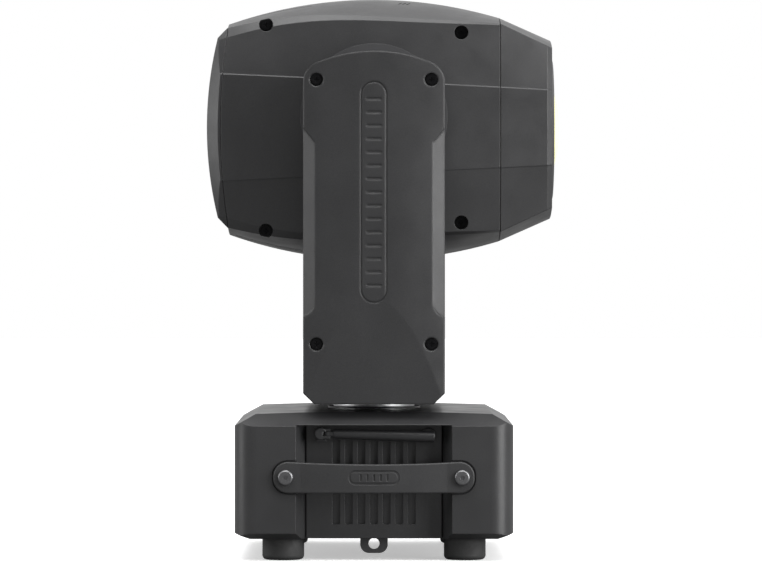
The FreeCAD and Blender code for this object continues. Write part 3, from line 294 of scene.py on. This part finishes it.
FINISHES = {
    "moulded_shell": moulded("shell plastic", SHELL, 0.36),
    "black_plastic": moulded("black plastic", (0.017, 0.017, 0.018), 0.42),
    "handle_plastic": moulded("handle plastic", (0.028, 0.028, 0.029), 0.46, 0.0001, 900),
    "black_steel": coated("black coated steel", (0.045, 0.045, 0.047)),
    "black_screw": metal("blackened screw", (0.2, 0.2, 0.205), 0.36, (1, 1, 1), 900),
    "rubber": rubber("rubber", (0.036, 0.036, 0.036)),
    "polished_ring": metal("polished ring", (0.9, 0.9, 0.91), 0.42, (0.2, 0.2, 12), 300, 0.00001),
    "turned_aluminium": metal("turned aluminium", (0.6, 0.6, 0.62), 0.32, (1, 1, 8)),
    "hub_casting": coated("hub casting", (0.028, 0.028, 0.029), 0.42),
    "bright_steel": metal("bright steel", (0.55, 0.55, 0.57), 0.25, (8, 1, 1)),
    "motor_case": coated("motor case", (0.03, 0.03, 0.032)),
    "lens_glass": lens_glow("lit lens", HEAD_CENTRE, 0.062),
    "display_glass": glossy_dark("display glass", (0.01, 0.012, 0.016)),
    "board": board("circuit board", (0.015, 0.09, 0.04)),
    "socket_body": moulded("socket plastic", (0.02, 0.02, 0.021), 0.38),
    "mark": moulded("button mark", (0.55, 0.55, 0.56), 0.5),
    "wheel_sheet": metal("wheel sheet", (0.35, 0.35, 0.37), 0.4, (1, 4, 1)),
}


# Blackened screws that sit deep in pockets on the arms and head get a much darker copy of the screw metal, so
# the pocket's shade is painted into their colour.
SCREW_WITH_POCKET_SHADE = metal("screw with painted pocket shade", (0.018, 0.018, 0.019), 0.4, (1, 1, 1), 900)
ARM_SHELL = moulded("arm plastic", SHELL, 0.36, edge=0.0028)
OWN_FINISH = {
    "arm_screws": SCREW_WITH_POCKET_SHADE, "shell_screws": SCREW_WITH_POCKET_SHADE,
    "arm_cover_near": ARM_SHELL, "arm_cover_far": ARM_SHELL,
}


def finish_nodes():
    for row in frame["record"]["subparts"]:
        piece = frame["nodes"][row["node"]]
        piece.data.materials.clear()
        piece.data.materials.append(OWN_FINISH.get(row["node"], FINISHES[row["material_slot"]]))
        for polygon in piece.data.polygons:
            polygon.material_index = 0


# ---------------------------------------------------------------- pieces

def mesh_piece(name, build, body, material, bevel=0):
    """Builds a mesh in place with a bmesh function and joins it to a body."""
    grown = bmesh.new()
    build(grown)
    data = bpy.data.meshes.new(name)
    grown.to_mesh(data)
    grown.free()
    piece = bpy.data.objects.new(name, data)
    scene.collection.objects.link(piece)
    data.materials.append(material)
    if bevel:
        edge = piece.modifiers.new("bevel", "BEVEL")
        edge.width = bevel
        edge.segments = 2
        edge.limit_method = "ANGLE"
    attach(piece, body)
    return piece


def add_block(grown, low, high):
    corners = [grown.verts.new((x, y, z)) for x in (low[0], high[0]) for y in (low[1], high[1])
               for z in (low[2], high[2])]
    for face in ((0, 1, 3, 2), (4, 6, 7, 5), (0, 4, 5, 1), (2, 3, 7, 6), (0, 2, 6, 4), (1, 5, 7, 3)):
        grown.faces.new([corners[n] for n in face])


def make_display_picture():
    """Generic menu on the display: a header bar, rows and a level meter."""
    low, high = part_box("display_window")
    face = high[0] + 0.00005
    top = high[2] - 0.006

    def rows(grown):
        for n in range(4):
            width = (0.034, 0.026, 0.03, 0.02)[n]
            add_block(grown, (face, low[1] + 0.007, top - 0.0105 - 0.0075 * n),
                      (face + 0.00012, low[1] + 0.007 + width, top - 0.008 - 0.0075 * n))

    def header(grown):
        add_block(grown, (face, low[1] + 0.007, top - 0.003), (face + 0.00012, high[1] - 0.007, top))

    def meter(grown):
        for n in range(7):
            level = 0.004 + 0.003 * n
            add_block(grown, (face, high[1] - 0.034 + 0.0038 * n, low[2] + 0.006),
                      (face + 0.00012, high[1] - 0.0315 + 0.0038 * n, low[2] + 0.006 + level))
    mesh_piece("display_rows", rows, "base",
               lit("display rows", (0.55, 0.8, 1.0), 1.2))
    mesh_piece("display_header", header, "base",
               lit("display header", (0.1, 0.45, 0.9), 1.4))
    mesh_piece("display_meter", meter, "base",
               lit("display meter", (0.2, 0.9, 0.4), 1.2))


def make_rear_mesh():
    """Woven dust mesh between the rear cover's louvres and the fan."""
    low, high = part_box("head_fan_frame")
    back, wire, pitch, reach = low[0] - 0.004, 0.0003, 0.002, 0.061
    level = HEAD_CENTRE[2]

    def weave(grown):
        count = int(reach / pitch)
        for n in range(-count, count + 1):
            across = n * pitch
            add_block(grown, (back - wire, -reach, level + across - wire),
                      (back + wire, reach, level + across + wire))
            add_block(grown, (back + wire, across - wire, level - reach),
                      (back + 3 * wire, across + wire, level + reach))
    mesh_piece("rear_dust_mesh", weave, "head", FINISHES["black_steel"])


def add_screw(grown, centre, turn, radius, height):
    """A pan head facing +X or -X; its cross is a separate piece from add_cross."""
    rings, around = ((1, 0), (1, 0.55), (0.8, 0.9), (0.45, 1)), 20
    loops = []
    for size, rise in rings:
        loop = []
        for n in range(around):
            angle = 2 * math.pi * n / around
            loop.append(grown.verts.new((centre[0] + turn * height * rise,
                                         centre[1] + radius * size * math.cos(angle),
                                         centre[2] + radius * size * math.sin(angle))))
        loops.append(loop)
    for inner, outer in zip(loops[1:], loops):
        for n in range(around):
            grown.faces.new([outer[n], outer[(n + 1) % around], inner[(n + 1) % around], inner[n]])
    grown.faces.new(loops[-1])
    grown.faces.new(loops[0][::-1])


def add_cross(grown, centre, turn, height):
    """Dark cross on a screw head."""
    start, end = sorted((centre[0] + turn * height * 0.9, centre[0] + turn * height * 1.04))
    for across, up in ((0.0011, 0.00028), (0.00028, 0.0011)):
        add_block(grown, (start, centre[1] - across, centre[2] - up),
                  (end, centre[1] + across, centre[2] + up))


def make_panel_screws():
    """Small screws that hold the sockets and the two end panels."""
    low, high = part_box("connector_panel")
    level = (low[2] + high[2]) / 2 + 0.002
    pitch, flange_face = 0.029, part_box("data_sockets")[0][0]
    spots = []
    for n in range(6):
        y = (n - 2.5) * pitch
        spots.append(((flange_face, y - 0.0105, level - 0.0128), -1))
        spots.append(((flange_face, y + 0.0105, level + 0.0128), -1))
    inset = 0.009
    display_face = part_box("display_panel")[1][0]
    for node, turn, face in (("connector_panel", -1, low[0]), ("display_panel", 1, display_face)):
        first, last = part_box(node)
        for y in (first[1] + inset, last[1] - inset):
            for z in (first[2] + inset, last[2] - inset):
                spots.append(((face, y, z), turn))

    def heads(grown):
        for centre, turn in spots:
            add_screw(grown, centre, turn, 0.0021, 0.0011)

    def crosses(grown):
        for centre, turn in spots:
            add_cross(grown, centre, turn, 0.0011)
    mesh_piece("panel_screw_heads", heads, "base", FINISHES["black_screw"])
    mesh_piece("panel_screw_crosses", crosses, "base", FINISHES["black_plastic"])


def make_button_marks():
    """Light marks on the four buttons: bars, two arrows and a dot."""
    size, depth, around = 0.0022, 0.00012, 16
    dot, turn = size * 0.8, 2 * math.pi / around
    outlines = {
        "menu": None,
        "up": [(-size, -size * 0.7), (size, -size * 0.7), (0, size)],
        "down": [(-size, size * 0.7), (0, -size), (size, size * 0.7)],
        "enter": [(dot * math.cos(turn * n), dot * math.sin(turn * n)) for n in range(around)],
    }
    mark = FINISHES["mark"]
    for label, outline in outlines.items():
        low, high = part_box("button_" + label)
        face, y, z = high[0], (low[1] + high[1]) / 2, (low[2] + high[2]) / 2

        def bars(grown):
            for n in (-1, 0, 1):
                add_block(grown, (face, y - size, z + n * 0.0014 - 0.0003),
                          (face + depth, y + size, z + n * 0.0014 + 0.0003))

        def shape(grown):
            front = [grown.verts.new((face + depth, y + across, z + up)) for across, up in outline]
            back = [grown.verts.new((face, y + across, z + up)) for across, up in outline]
            grown.faces.new(front)
            grown.faces.new(back[::-1])
            for n in range(len(front)):
                m = (n + 1) % len(front)
                grown.faces.new([front[n], back[n], back[m], front[m]])
        mesh_piece(label + "_mark", shape if outline else bars, label + "_button", mark)


# ---------------------------------------------------------------- stage

def make_stage():
    data = bpy.data.meshes.new("floor")
    corners = [(-1, -1), (1, -1), (1, 1), (-1, 1)]
    data.from_pydata([(x * FLOOR_REACH, y * FLOOR_REACH, 0) for x, y in corners], [], [(0, 1, 2, 3)])
    floor = bpy.data.objects.new("floor", data)
    floor.data.materials.append(floor_paint())
    scene.collection.objects.link(floor)


def softbox(name, place, width, height, power):
    data = bpy.data.lights.new(name, "AREA")
    data.shape = "RECTANGLE"
    data.size = width
    data.size_y = height
    data.energy = power
    lamp = bpy.data.objects.new(name, data)
    lamp.location = place
    lamp.rotation_euler = (Vector(LIGHT_TARGET) - Vector(place)).to_track_quat("-Z", "Y").to_euler()
    scene.collection.objects.link(lamp)


def make_world():
    """White all round for the camera; for the light, dimmer in front of the object than behind and above."""
    world = bpy.data.worlds.new("studio")
    world.use_nodes = True
    tree = world.node_tree
    output = tree.nodes["World Output"]
    seen = tree.nodes["Background"]
    seen.inputs["Color"].default_value = (1, 1, 1, 1)
    seen.inputs["Strength"].default_value = 1.0
    light = tree.nodes.new("ShaderNodeBackground")
    place = tree.nodes.new("ShaderNodeTexCoord")
    parts = tree.nodes.new("ShaderNodeSeparateXYZ")
    spread = tree.nodes.new("ShaderNodeMapRange")
    spread.inputs["From Min"].default_value = WORLD_FRONT
    spread.inputs["From Max"].default_value = WORLD_BACK
    spread.inputs["To Min"].default_value = FRONT_LIGHT
    spread.inputs["To Max"].default_value = BACK_LIGHT
    ray = tree.nodes.new("ShaderNodeLightPath")
    mix = tree.nodes.new("ShaderNodeMixShader")
    link = tree.links.new
    link(place.outputs["Generated"], parts.inputs["Vector"])
    link(parts.outputs["Y"], spread.inputs["Value"])
    link(spread.outputs["Result"], light.inputs["Strength"])
    link(ray.outputs["Is Camera Ray"], mix.inputs["Fac"])
    link(light.outputs["Background"], mix.inputs[1])
    link(seen.outputs["Background"], mix.inputs[2])
    link(mix.outputs["Shader"], output.inputs["Surface"])
    scene.world = world


def make_lights():
    softbox("left light", (-2.4, -0.3, 0.8), width=1.2, height=2.2, power=26)
    softbox("right light", (2.1, -1.5, 0.8), width=1.4, height=2.2, power=84)
    softbox("top light", (0, -0.9, 2.6), width=2.4, height=1.6, power=38)
    sun = bpy.data.lights.new("overhead", "SUN")
    sun.energy = SUN_STRENGTH
    sun.angle = SUN_SPREAD
    lamp = bpy.data.objects.new("overhead", sun)
    scene.collection.objects.link(lamp)
    scene.view_settings.view_transform = "Standard"


make_camera()
finish_nodes()
make_display_picture()
make_button_marks()
make_panel_screws()
make_rear_mesh()
make_stage()
make_world()
make_lights()
